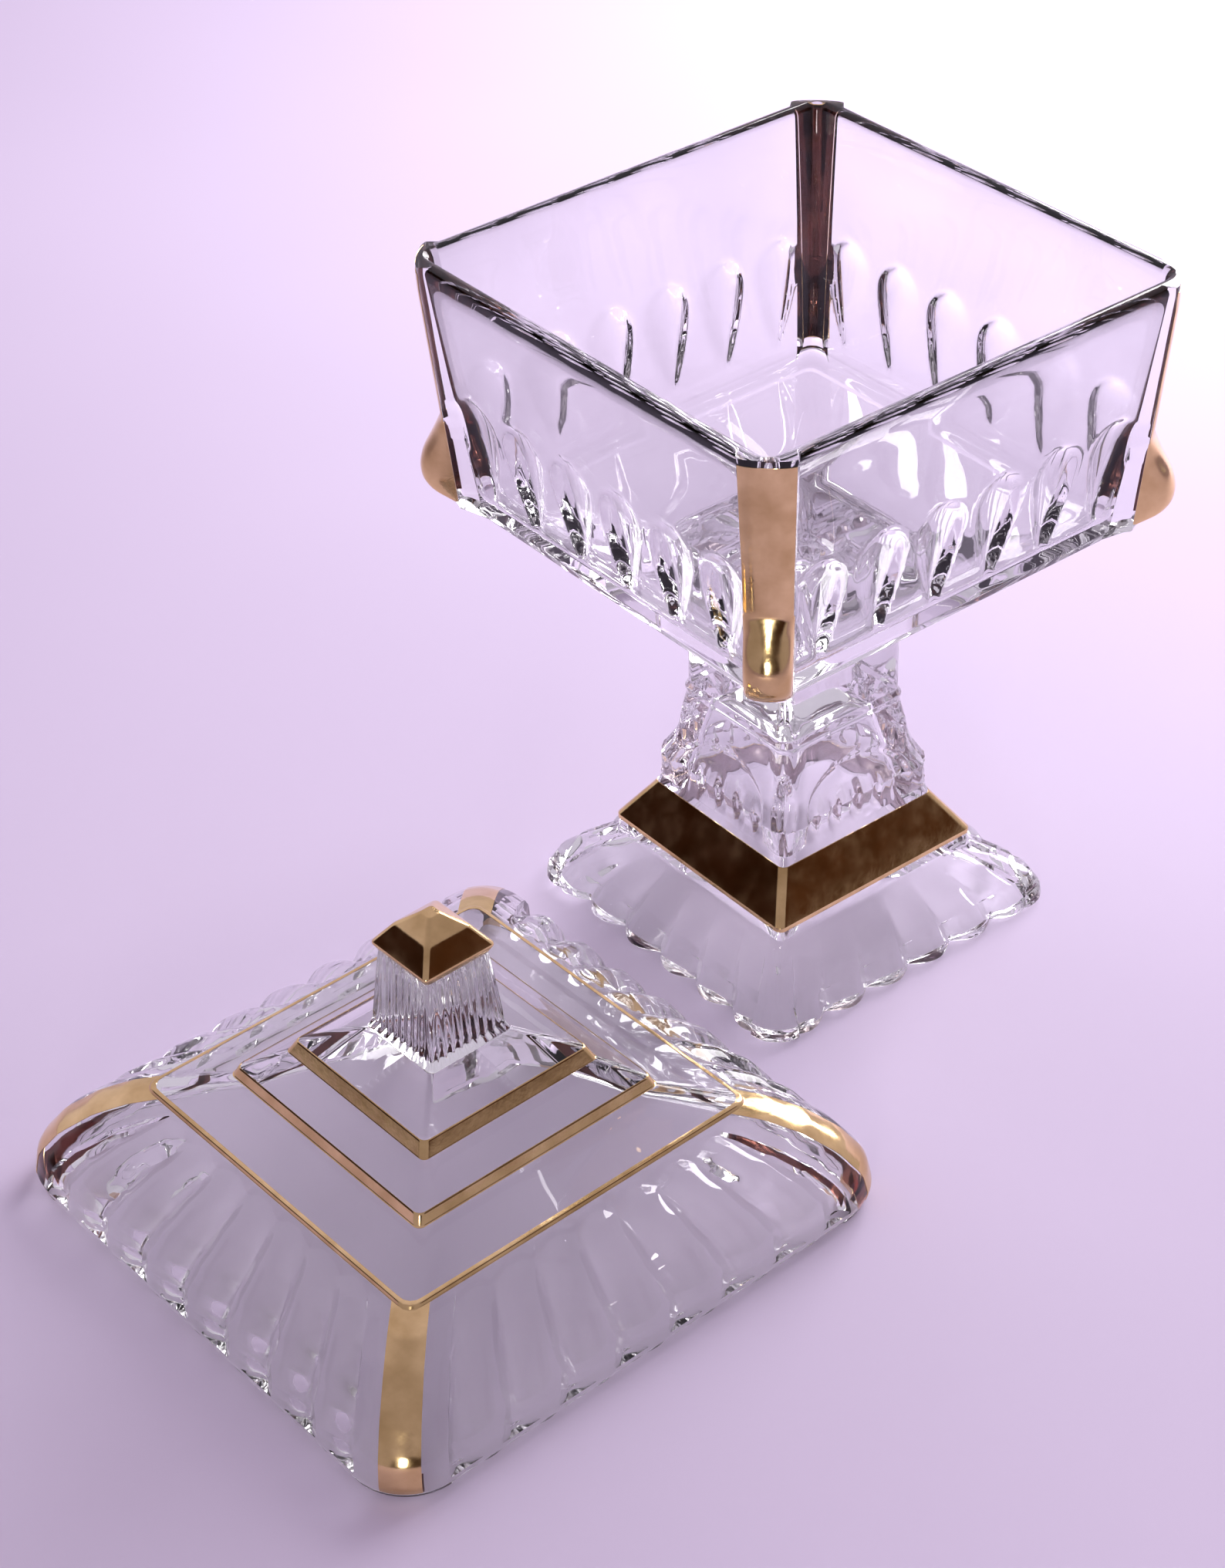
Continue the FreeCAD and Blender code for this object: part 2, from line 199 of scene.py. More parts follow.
def ring_plan(rows, crest=None):
    """Points and level normals of all the rings, rows down and columns round.

    A side column stands on the straight side at its share of the side's length. A
    corner column lies at a distance across the diagonal: within the corner's arc
    it is on that arc, and outside it on the side. A rib's crest, where given as the
    reach of its fin and of its shaft, carries the corner columns out to it.
    """
    half, radius = rows["half"][:, None], rows["corner"][:, None]
    zone = np.maximum(rows["zone"][:, None], radius / math.sqrt(2))
    side_x = np.repeat(half, len(SIDE), axis=1)
    side_y = SIDE * (half - math.sqrt(2) * zone)
    across = zone * np.sin(CORNER * math.pi / 4) / math.sin(math.pi / 4)
    bent = np.clip(across, -radius / math.sqrt(2), radius / math.sqrt(2))
    reach = np.where(
        np.abs(across) <= radius / math.sqrt(2),
        (half - radius) * math.sqrt(2) + np.sqrt(radius**2 - bent**2),
        half * math.sqrt(2) - np.abs(across),
    )
    if crest is not None:
        round_off = 1 - np.sqrt(1 - (CORNER * ROUND_EDGE) ** 2)
        fin, shaft = (line[:, None] for line in crest)
        on_crest = np.abs(CORNER) < 0.5 * (CREST_SHARE + CHEEK_SHARE)
        proud = np.clip((fin - shaft) / FIN_PROUD, 0, 1)
        rounding = SHAFT_ROUNDING + FIN_ROUNDING * proud * on_crest
        rib = np.where(on_crest, fin, shaft) - rounding * round_off
        inside = np.abs(CORNER) < 1
        reach = np.where(inside, np.maximum(reach, rib), reach)
    tilt = np.arcsin(bent / np.maximum(radius, 1e-6)) + math.pi / 4
    x = np.concatenate([side_x, (reach - across) / math.sqrt(2)], axis=1)
    y = np.concatenate([side_y, (reach + across) / math.sqrt(2)], axis=1)
    nx = np.concatenate([np.ones_like(side_x), np.cos(tilt)], axis=1)
    ny = np.concatenate([np.zeros_like(side_y), np.sin(tilt)], axis=1)
    return x, y, nx, ny, side_y, across


def moulded(rows, depth, crest=None):
    """Grid of points: the rings, pushed out by the depth along the profile's normal.

    The first quarter is worked out and the other three are it, turned by 90 degrees.
    """
    x, y, nx, ny, side_y, across = ring_plan(rows, crest)
    push = depth(rows, side_y, across)
    px = x + push * rows["out"][:, None] * nx
    py = y + push * rows["out"][:, None] * ny
    pz = rows["height"][:, None] + push * rows["up"][:, None]
    quarter = np.stack([px, py, pz], axis=2)
    turned = [quarter]
    for _ in range(3):
        last = turned[-1]
        turned.append(np.stack([-last[..., 1], last[..., 0], last[..., 2]], axis=2))
    return np.concatenate(turned, axis=1)


def turned_about(points, centre, angle):
    """The points turned about the Z axis by the angle, then moved to the centre."""
    turn = np.array(Matrix.Rotation(angle, 3, "Z"))
    return points @ turn.T + np.array([centre[0], centre[1], 0.0])


def grid_normals(grid):
    """Unit normals of a grid that closes on itself round its columns."""
    down = np.gradient(grid, axis=0)
    about = np.roll(grid, -1, axis=1) - np.roll(grid, 1, axis=1)
    normal = np.cross(down, about)
    return normal / np.maximum(np.linalg.norm(normal, axis=2, keepdims=True), 1e-12)


def ring_faces(row_count, column_count):
    """Quads between neighbouring rows and columns, facing away from the glass."""
    index = np.arange(row_count * column_count).reshape(row_count, column_count)
    right = np.roll(index, -1, axis=1)
    return np.stack([index[:-1], index[1:], right[1:], right[:-1]], axis=2)


def shell_object(name, points, quads, triangles, sharp_angle):
    """Mesh object in metres at the origin, smooth except across edges sharper than this."""
    mesh = bpy.data.meshes.new(name)
    mesh.from_pydata((points * MM).tolist(), [], quads.tolist() + triangles.tolist())
    mesh.update()
    mesh.shade_smooth()
    mesh.set_sharp_from_angle(angle=math.radians(sharp_angle))
    piece = bpy.data.objects.new(name, mesh)
    bpy.context.scene.collection.objects.link(piece)
    return piece


def closed_glass(name, grid):
    """Closed glass body: the grid's rings, with a fan of triangles over each end."""
    row_count, column_count = grid.shape[:2]
    points = grid.reshape(-1, 3)
    ends = np.stack([grid[0].mean(axis=0), grid[-1].mean(axis=0)])
    ring = np.arange(column_count)
    after = np.roll(ring, -1)
    last = (row_count - 1) * column_count
    start_hub = np.full(column_count, row_count * column_count)
    first_fan = np.stack([start_hub, ring, after], axis=1)
    last_fan = np.stack([last + ring, start_hub + 1, last + after], axis=1)
    quads = ring_faces(row_count, column_count).reshape(-1, 4)
    return shell_object(
        name, np.concatenate([points, ends]), quads, np.concatenate([first_fan, last_fan]), 38
    )


def gold_skin(name, grid, normals, chosen, cap_end=None):
    """Thin closed skin over the chosen faces of a glass grid.

    Its outside stands off the glass by LIFT along the normals and its inside sinks
    in by SINK, so that the gold is seen through the glass as well. Walls close it
    along every edge that only one chosen face has.
    """
    row_count, column_count = grid.shape[:2]
    faces = ring_faces(row_count, column_count)[chosen]
    points, directions = grid.reshape(-1, 3), normals.reshape(-1, 3)
    triangles = np.zeros((0, 3), int)
    if cap_end is not None:
        hub = len(points)
        ring = np.arange(column_count) + cap_end * column_count
        triangles = np.stack([np.full(column_count, hub), ring, np.roll(ring, -1)], axis=1)
        points = np.concatenate([points, grid[cap_end].mean(axis=0)[None]])
        directions = np.concatenate([directions, [[0.0, 0.0, 1.0]]])
    used, flat = np.unique(np.concatenate([faces.ravel(), triangles.ravel()]), return_inverse=True)
    faces = flat[: faces.size].reshape(-1, 4)
    triangles = flat[faces.size :].reshape(-1, 3)
    points, directions = points[used], directions[used]
    count = len(points)
    edges = np.concatenate(
        [np.stack([f, np.roll(f, -1, axis=1)], axis=2).reshape(-1, 2) for f in (faces, triangles)]
    )
    code, back = edges[:, 0] * count + edges[:, 1], edges[:, 1] * count + edges[:, 0]
    open_edges = edges[~np.isin(code, back)]
    first, second = open_edges[:, 0], open_edges[:, 1]
    walls = np.stack([second, first, first + count, second + count], axis=1)
    both = np.concatenate([points + LIFT * directions, points - SINK * directions])
    quads = np.concatenate([faces, faces[:, ::-1] + count, walls])
    triangles = np.concatenate([triangles, triangles[:, ::-1] + count])
    skin = shell_object(name, both, quads, triangles, 50)
    faced = len(faces)
    under = np.zeros(len(quads) + len(triangles), np.int32)
    under[faced : 2 * faced] = 1
    under[len(quads) + len(triangles) // 2 :] = 1
    skin.data.polygons.foreach_set("material_index", under)
    return skin


# ------------------------------------------------------------------ base ornament
THUMBPRINTS = 6
THUMB_TIP, THUMB_WIDEST, THUMB_TOP = 98.6, 116.8, 122.8
THUMB_HALF = 6.0
THUMB_DEPTH = 1.5
# Pitch of the thumbprints, in millimetres and as a share of the wall's half width.
THUMB_PITCH, THUMB_SHARE = 14.7, 0.2988
# The stem's arch: its crown, its springing and its half width, and the let-in's depth.
ARCH_TOP, ARCH_FOOT, ARCH_HALF = 43.8, 33.5, 14.6
ARCH_LOW, ARCH_DEPTH = 28.8, 0.9
# The slits in the arch: how many, half width, depth, lower end, rise above the springing.
SLITS, SLIT_HALF, SLIT_DEPTH = 5, 1.6, 1.1
SLIT_LOW, SLIT_RISE = 29.0, 5.2
# The almond-shaped flute on each corner of the stem.
FLUTE_LOW, FLUTE_TOP = 28.6, 46.0
FLUTE_HALF, FLUTE_DEPTH = 2.7, 1.7
# The notch under each corner of the foot's band: from, length, half width and depth.
SPUR_START, SPUR_LENGTH = 27.3, 4.2
SPUR_HALF, SPUR_DEPTH = 2.6, 0.9
# Pitch of the foot's petals, and depth of the grooves between them by half width.
PETAL_SHARE = 0.2955
PETAL_HALVES, PETAL_DEPTHS = (27.5, 31.0, 36.0, 40.0), (0.0, 0.8, 2.0, 3.0)

# A rib's crest: a straight shaft down to the fin's brow, then the fin, which stands
# out sharply from there and rounds under to its tail.
FIN_BROW = 115.6
SHAFT_CREST = {"height": (94.0, 95.2, 146.0), "reach": (62.0, 67.9, 72.9)}
FIN_HEIGHTS = (96.2, 96.8, 97.6, 98.8, 100.6, 103.4, 106.6, 110.6, FIN_BROW)
FIN_REACHES = (64.0, 68.6, 70.6, 72.6, 74.2, 74.9, 74.3, 72.3, 69.9)

# Lower and upper end of the gold on the ribs.
GOLD_LOW, GOLD_TOP = 96.6, 147.0


def rib_crest(rows, chosen):
    """Reach from the bowl's axis of the fins' crest and of the plain shafts' crest.

    The shafts' is a straight line down to a short foot. The fins' is a smooth curve
    below the brow. Rows that aren't chosen have no ribs.
    """
    z = rows["height"]
    shaft = np.interp(z, SHAFT_CREST["height"], SHAFT_CREST["reach"])
    fin = np.where(z > FIN_BROW, shaft, smooth_through(z, FIN_HEIGHTS, FIN_REACHES))
    return np.where(chosen, np.maximum(fin, shaft), 0), np.where(chosen, shaft, 0)


def thumbprints(z, q):
    """Depth of the bowl's thumbprints, at height z and q thumbprints from the middle.

    Each is a hollow as wide as a half ellipse above its widest level and narrowing
    to a point below. Across, the hollow is a parabola.
    """
    above = np.clip((z - THUMB_WIDEST) / (THUMB_TOP - THUMB_WIDEST), 0, 1)
    below = np.clip((THUMB_WIDEST - z) / (THUMB_WIDEST - THUMB_TIP), 0, 1)
    width = THUMB_HALF * np.sqrt(1 - above**2) * (1 - below**1.5)
    depth = THUMB_DEPTH * np.sqrt(1 - above**2) * (1 - below**3)
    from_middle = (np.abs(q) % 1.0 - 0.5) * THUMB_PITCH
    hollow = depth * (1 - (from_middle / np.maximum(width, 1e-3)) ** 2)
    inside = (z > THUMB_TIP) & (z < THUMB_TOP) & (np.abs(q) < THUMBPRINTS / 2)
    return np.where(inside, -np.maximum(hollow, 0), 0)


def stem_arches(z, y):
    """Depth of the arch on each face of the stem and of the slits that stand in it.

    The arch is half an ellipse let into the face. Each slit is a parabola across,
    tallest in the middle of the arch, and fades out upwards.
    """
    rise = np.clip(z - ARCH_FOOT, 0, None) / (ARCH_TOP - ARCH_FOOT)
    r = np.sqrt((y / ARCH_HALF) ** 2 + rise**2)
    let_in = np.clip((1 - r) / 0.08, 0, 1) * np.clip((z - ARCH_LOW) / 1.5, 0, 1)
    pitch = 2 * ARCH_HALF / SLITS
    across = ((y / pitch + 0.5) % 1.0 - 0.5) * pitch
    slit_top = ARCH_FOOT + SLIT_RISE * np.sqrt(np.clip(1 - (y / ARCH_HALF) ** 2, 0, 1))
    fade = np.clip((slit_top - z) / 3.0, 0, 1) * np.clip((z - SLIT_LOW) / 1.5, 0, 1)
    slit = np.clip(1 - (across / SLIT_HALF) ** 2, 0, 1) * fade * (np.abs(y) < ARCH_HALF * 0.95)
    return -(ARCH_DEPTH * let_in + SLIT_DEPTH * slit)


def stem_flutes(z, across):
    """Depth of the almond-shaped flute down each corner of the stem.

    Its half width swells as the sine of its share of the height to the power 0.7.
    Across it is a parabola.
    """
    t = np.clip((z - FLUTE_LOW) / (FLUTE_TOP - FLUTE_LOW), 0, 1)
    width = FLUTE_HALF * np.sin(math.pi * t) ** 0.7
    hollow = FLUTE_DEPTH * (1 - (across / np.maximum(width, 1e-3)) ** 2)
    return -np.clip(hollow, 0, None) * ((t > 0) & (t < 1))


def foot_spurs(half, across):
    """Depth of the small three-cornered notch under each corner of the foot's band.

    It narrows in a straight line outwards. Across it is a parabola.
    """
    t = np.clip((half - SPUR_START) / SPUR_LENGTH, 0, 1)
    width = SPUR_HALF * (1 - t)
    hollow = 1 - (across / np.maximum(width, 1e-3)) ** 2
    return -SPUR_DEPTH * np.clip(hollow, 0, None) * (t > 0) * (t < 1)


def base_depth(rows, side_y, across):
    """How far the base's outside is pushed in or out by its pressed ornament.

    A petal is the absolute value of a sine: round on top, with a cusp for the groove.
    """
    z = rows["height"][:, None]
    half = rows["half"][:, None]
    outside = (rows["out"] > 0.05)[:, None]
    side = np.zeros_like(side_y)
    corner = np.zeros_like(across)

    wall = outside & (z > WALL_FOOT) & (z < 130)
    side += np.where(wall, thumbprints(z, side_y / (THUMB_SHARE * half)), 0)

    stem = outside & (z > 27) & (z < 50) & (half < 22)
    side += np.where(stem, stem_arches(z, side_y), 0)
    corner += np.where(stem, stem_flutes(z, across), 0)

    foot = (z < 13.2) & outside & (half > 27)
    swell = np.interp(half, PETAL_HALVES, PETAL_DEPTHS)
    petal = side_y / (PETAL_SHARE * half)
    side += np.where(foot, -swell * (1 - np.abs(np.sin(math.pi * petal))), 0)
    corner += np.where(foot, foot_spurs(half, across), 0)
    return np.concatenate([side, corner], axis=1)


def make_base_grid():
    """Profile of the base: the bowl's inside, rim and outside, the stem and the foot."""
    inner_half = RIM_HALF - WALL
    floor_half = WALL_HALF - WALL
    stations = [
        (0.6, BOWL_FLOOR - 0.5, 0.2, 0.2, 0, 3),
        (floor_half - 4.8, BOWL_FLOOR - 0.5, 2.0, 3.4, 0.3, 1),
        (floor_half - 4.3, BOWL_FLOOR, 2.2, 3.6, 0.3, 2),
        (floor_half, BOWL_FLOOR, 1.8, 4.2, 2.6, 6),
        (inner_half, RIM_HEIGHT, 2.2, 4.6, 1.6, 1),
        (RIM_HALF, RIM_HEIGHT, 7.7, 5.6, 1.6, 6),
        (51.0, 125.0, 6.2, 4.9, 0, 34),
        (WALL_HALF, WALL_FOOT, 5.0, 4.4, 1.0, 1),
        (46.2, 92.8, 5.0, 4.4, 1.0, 1),
        (43.6, 91.3, 4.5, 4.2, 1.5, 3),
        (20.0, 86.0, 3.0, 3.0, 3.0, 1),
        (17.0, SEAT_HEIGHT, 2.6, 3.0, 2.0, 1),
        (16.1, 78.0, 2.5, 3.0, 3.0, 2),
        (16.1, 53.0, 2.5, 3.0, 0.8, 1),
        (16.7, 51.6, 2.5, 3.0, 0.8, 1),
        (16.4, 50.2, 2.5, 3.0, 1.5, 3),
        (17.2, 45.5, 2.4, 3.0, 8.0, 7),
        (19.2, 39.0, 2.2, 3.0, 8.0, 7),
        (21.3, 34.8, 2.0, 3.0, 0.7, 5),
        (20.3, 28.4, 2.0, 3.0, 0.6, 1),
        (BAND_HALF - 6.1, BAND_HIGH[2], 1.6, 2.4, 0.3, 2),
        (BAND_HALF, 17.2, 1.6, 2.4, 0.3, 1),
        (BAND_HALF, BAND_LOW[2], 1.6, 2.4, 0.0, 1),
        (BAND_HALF, 14.0, 1.6, 2.4, 0.2, 1),
        (27.2, 13.3, 2.0, 2.4, 0.3, 14),
        (37.4, 6.4, 5.0, 4.0, 1.6, 3),
        (FOOT_HALF - 0.2, 2.5, 7.0, 5.0, 1.0, 1),
        (FOOT_HALF, 0.5, 7.0, 5.0, 0.4, 1),
        (39.5, 0.0, 6.8, 5.0, 0, 1),
        (36.0, 0.0, 5.5, 4.5, 0.5, 1),
        (33.0, 4.0, 4.5, 4.0, 2.0, 2),
        (25.0, 9.4, 3.6, 3.0, 4.0, 2),
        (19.5, 15.5, 3.2, 2.8, 8.0, 2),
        (15.6, 25.0, 3.0, 2.6, 12.0, 2),
        (14.4, 34.0, 2.8, 2.4, 12.0, 2),
        (12.0, 44.0, 2.8, 2.4, 12.0, 2),
        (10.8, 49.0, 2.8, 2.4, 3.0, 2),
        (7.0, 51.5, 2.6, 2.2, 3.0, 2),
        (0.6, 51.6, 0.2, 0.2, 0, 1),
    ]
    rows = profile(stations)
    scallop_level(rows, 39.0)
    on_wall = (rows["out"] > 0.5) & (rows["height"] > 94.3) & (rows["half"] > 40)
    return rows, moulded(rows, base_depth, rib_crest(rows, on_wall))


def scallop_level(rows, inner_half):
    """Make the rows under a moulding's edge move level with its ornament, not up and down."""
    edge = (rows["height"] < 0.6) & (rows["half"] > inner_half)
    rows["out"][edge], rows["up"][edge] = 1.0, 0.0


# ------------------------------------------------------------------- lid ornament
LINE_HALF = 41.0
# Share of a corner's zone that its gold stripe covers.
STRIPE_SHARE = 0.45
# Pitch of the gadroons, and depth of the grooves between them by half width.
LOBE_SHARE = 0.2155
LOBE_HALVES, LOBE_DEPTHS = (LINE_HALF + 1.0, 44.0, 49.0, 55.0, 61.5), (0.0, 1.0, 2.3, 2.9, 2.4)
# Pitch and height of the knob's reeds, on its sides and on its corners.
REED_PITCH, REED_HEIGHT = 1.9, 0.32
CORNER_REED_PITCH, CORNER_REED_HEIGHT = 1.3, 0.25


def lid_depth(rows, side_y, across):
    """How far the lid's outside is pushed in: gadroons on its shoulder, reeds on its knob.

    A gadroon is a convex lobe, and the groove between two is a cusp. A reed is a
    cosine. Both die out at their ends.
    """
    z = rows["height"][:, None]
    half = rows["half"][:, None]
    outside = (rows["up"] > -0.2)[:, None] & (z < 23.2)
    swell = np.interp(half, LOBE_HALVES, LOBE_DEPTHS) * np.interp(z, (0.0, 3.0), (0.8, 1.0))
    lobe = side_y / (LOBE_SHARE * half)
    groove = 1 - np.abs(np.cos(math.pi * lobe))
    side = np.where(outside & (half > LINE_HALF), -swell * groove, 0)
    knob = (z > 41.0) & (z < 58.6) & (half < 10)
    fade = np.interp(z, (40.6, 42.0, 57.6, 58.6), (0.2, 1.0, 1.0, 0.0))
    reeds = REED_HEIGHT * fade * np.cos(2 * math.pi * side_y / REED_PITCH)
    corner_reeds = CORNER_REED_HEIGHT * fade * np.cos(2 * math.pi * across / CORNER_REED_PITCH)
    side = side + np.where(knob, reeds, 0)
    corner = np.where(knob, corner_reeds, 0)
    return np.concatenate([side, corner], axis=1)


def make_lid_grid():
    """Profile of the lid: the knob, the steps, the shoulder, the edge and the underside."""
    top = CAP_HIGH[2]
    stations = [
        (0.5, top, 0.1, 0.1, 0, 1),
        (1.4, top - 0.1, 0.7, 0.6, 0.4, 3),
        (5.2, 64.4, 0.9, 0.9, 3.0, 3),
        (8.3, 60.2, 0.9, 0.9, 0.5, 1),
        (7.4, 58.5, 0.9, 0.9, 0.3, 12),
        (9.0, 41.6, 1.0, 1.0, 0.5, 1),
        (9.9, 40.0, 1.2, 1.0, 0.5, 2),
        (19.7, 35.6, 1.3, 1.3, 0.6, 1),
        (21.0, 33.0, 1.3, 1.3, 0.5, 2),
        (28.1, 28.7, 1.5, 1.5, 0.6, 1),
        (28.9, 26.7, 1.5, 1.5, 0.5, 3),
        (40.2, 23.5, 2.5, 7.8, 0.3, 1),
        (40.9, 23.4, 2.5, 7.8, 0.3, 1),
        (41.2, 22.7, 2.5, 7.8, 0.3, 4),
        (45.6, 21.3, 4.2, 7.9, 6.0, 5),
        (51.0, 18.3, 7.0, 8.1, 8.0, 7),
        (56.6, 13.5, 9.6, 8.4, 8.0, 8),
        (60.4, 8.0, 11.4, 8.6, 6.0, 6),
        (61.3, 3.2, 12.0, 8.7, 2.5, 4),
        (60.5, 0.0, 12.0, 8.7, 0.6, 1),
        (58.0, 0.0, 9.8, 7.2, 0.6, 1),
        (57.2, 3.6, 9.4, 7.0, 4.0, 1),
        (55.4, 7.2, 8.6, 6.8, 8.0, 2),
        (52.2, 11.0, 7.4, 6.2, 12.0, 2),
        (47.8, 14.6, 5.6, 5.2, 12.0, 2),
        (43.4, 17.0, 4.0, 4.2, 12.0, 2),
        (38.6, 18.6, 3.0, 3.4, 8.0, 2),
        (25.5, 22.9, 2.0, 2.0, 2.0, 2),
        (15.5, 28.6, 1.5, 1.5, 2.0, 2),
        (0.6, 28.6, 0.2, 0.2, 0, 1),
    ]
    rows = profile(stations)
    scallop_level(rows, 59.0)
    return rows, turned_about(moulded(rows, lid_depth), LID_CENTRE, LID_TURN)


# ---------------------------------------------------------------------- finishes
def new_finish(name):
    """A node material, its nodes, its links, its shader and its Object coordinates."""
    finish = bpy.data.materials.new(name)
    finish.use_nodes = True
    nodes, links = finish.node_tree.nodes, finish.node_tree.links
    place = nodes.new("ShaderNodeTexCoord")
    return finish, nodes, links, nodes["Principled BSDF"], place.outputs["Object"]


def mottle(nodes, links, place, scale, detail=2.0):
    """Noise with this many waves to the metre, from 0 to 1."""
    noise = nodes.new("ShaderNodeTexNoise")
    noise.inputs["Scale"].default_value = scale
    noise.inputs["Detail"].default_value = detail
    links.new(place, noise.inputs["Vector"])
    return noise.outputs["Fac"]


def spread(nodes, links, source, low, high):
    """The source's middle range stretched over the range from low to high."""
    stretch = nodes.new("ShaderNodeMapRange")
    stretch.inputs["From Min"].default_value = 0.3
    stretch.inputs["From Max"].default_value = 0.7
    stretch.inputs["To Min"].default_value = low
    stretch.inputs["To Max"].default_value = high
    links.new(source, stretch.inputs["Value"])
    return stretch.outputs["Result"]


def shade_between(nodes, links, source, first, second):
    """Colour that runs from the first to the second as the source runs from 0 to 1."""
    ramp = nodes.new("ShaderNodeValToRGB")
    ramp.color_ramp.elements[0].color = (*first, 1)
    ramp.color_ramp.elements[0].position = 0.3
    ramp.color_ramp.elements[1].color = (*second, 1)
    ramp.color_ramp.elements[1].position = 0.7
    links.new(source, ramp.inputs["Fac"])
    return ramp.outputs["Color"]


def ripple(nodes, links, source, shader, strength, distance):
    """Bump from the source on the shader."""
    bump = nodes.new("ShaderNodeBump")
    bump.inputs["Strength"].default_value = strength
    bump.inputs["Distance"].default_value = distance
    links.new(source, bump.inputs["Height"])
    links.new(bump.outputs["Normal"], shader.inputs["Normal"])


# Share of the lamps' light that clear glass lets straight through.
LAMP_SHARE = 0.72


def let_lamps_through(nodes, links, shader):
    """Let LAMP_SHARE of the lamps' light straight through the shader's glass."""
    clear = nodes.new("ShaderNodeBsdfTransparent")
    clear.inputs["Color"].default_value = (0.94, 0.95, 0.94, 1)
    path = nodes.new("ShaderNodeLightPath")
    share = nodes.new("ShaderNodeMath")
    share.operation = "MULTIPLY"
    share.inputs[1].default_value = LAMP_SHARE
    links.new(path.outputs["Is Shadow Ray"], share.inputs[0])
    both = nodes.new("ShaderNodeMixShader")
    links.new(share.outputs[0], both.inputs[0])
    links.new(shader.outputs[0], both.inputs[1])
    links.new(clear.outputs[0], both.inputs[2])
    links.new(both.outputs[0], nodes["Material Output"].inputs["Surface"])


def pressed_glass():
    """Clear pressed glass: a faint grey-green cast, soft mould ripples, fire-polished."""
    finish, nodes, links, shader, place = new_finish("pressed_glass")
    shader.inputs["Transmission Weight"].default_value = 1.0
    shader.inputs["IOR"].default_value = 1.5
    cast = mottle(nodes, links, place, 30.0)
    tint = shade_between(nodes, links, cast, (0.82, 0.825, 0.825), (0.90, 0.905, 0.90))
    links.new(tint, shader.inputs["Base Color"])
    haze = spread(nodes, links, mottle(nodes, links, place, 90.0, 3.0), 0.0, 0.025)
    links.new(haze, shader.inputs["Roughness"])
    ripple(nodes, links, mottle(nodes, links, place, 70.0, 1.0), shader, 0.2, 0.0003)
    let_lamps_through(nodes, links, shader)
    return finish


def fired_gold(name, low, high):
    """Fired bright gold: warm, a little cloudy, rubbed duller in patches."""
    finish, nodes, links, shader, place = new_finish(name)
    shader.inputs["Metallic"].default_value = 1.0
    shade = shade_between(nodes, links, mottle(nodes, links, place, 140.0, 4.0), low, high)
    links.new(shade, shader.inputs["Base Color"])
    dull = spread(nodes, links, mottle(nodes, links, place, 220.0, 4.0), 0.07, 0.2)
    links.new(dull, shader.inputs["Roughness"])
    ripple(nodes, links, mottle(nodes, links, place, 600.0, 3.0), shader, 0.2, 0.0001)
    return finish


def table_paper():
    """Pale lavender paper of the table, faintly uneven."""
    finish, nodes, links, shader, place = new_finish("pale_paper")
    uneven = mottle(nodes, links, place, 3.0, 3.0)
    shade = shade_between(nodes, links, uneven, (0.62, 0.53, 0.70), (0.66, 0.565, 0.74))
    links.new(shade, shader.inputs["Base Color"])
    shader.inputs["Roughness"].default_value = 0.85
    shader.inputs["Specular IOR Level"].default_value = 0.1
    return finish


# ------------------------------------------------------------------------ pieces
def dress(piece, body, slot, finishes, *nodes):
    """Give a piece its finishes and its body, and hide the CAD nodes it stands for. The slot is
    not used.
    """
    for finish in finishes:
        piece.data.materials.append(finish)
    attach(piece, body)
    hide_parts(*nodes)


def face_rows(rows, value):
    """Value of each face's row: the mean of the two rows it joins."""
    return (rows[value][:-1] + rows[value][1:]) / 2


def corner_faces(quarter, share):
    """Which columns of faces lie on this quarter's corner, up to this share of its zone."""
    first = quarter * QUARTER + len(SIDE)
    edges = np.append(CORNER, 1.0)
    middle = (edges[:-1] + edges[1:]) / 2
    chosen = np.zeros(4 * QUARTER, bool)
    chosen[first : first + len(CORNER)] = np.abs(middle) < share
    return chosen


# Each quarter's corner is 45 degrees on from its side, so quarter 0 ends at "right".
QUARTERS = {"right": 0, "back": 1, "left": 2, "front": 3}


def make_base(glass, gold, thin_gold):
    """The base: its glass, the band above the foot and the four gilded corner ribs."""
    rows, grid = make_base_grid()
    dress(closed_glass("base_glass", grid), "base", "clear_glass", glass,
          "bowl_glass", "pedestal_glass")
    normals = grid_normals(grid)
    z, half, out = (face_rows(rows, key) for key in ("height", "half", "out"))

    band = (z < BAND_HIGH[2] + 0.1) & (z > BAND_LOW[2] - 0.1)
    band &= (out > 0.05) & (half < BAND_HALF + 0.15)
    chosen = np.repeat(band[:, None], 4 * QUARTER, axis=1)
    dress(gold_skin("foot_band", grid, normals, chosen), "base", "fired_gold", thin_gold,
          "foot_band_gilding")

    outside = (out > 0.3) & (half > 45.0)
    shaft = outside & (z > GOLD_LOW) & (z < GOLD_TOP)
    fin = outside & (z > GOLD_LOW) & (z < FIN_BROW)
    for place, quarter in QUARTERS.items():
        chosen = shaft[:, None] & corner_faces(quarter, CREST_SHARE)
        chosen |= fin[:, None] & corner_faces(quarter, CHEEK_SHARE)
        dress(gold_skin(f"bowl_rib_gold_{place}", grid, normals, chosen), "base", "fired_gold",
              gold, f"bowl_gilding_{place}")


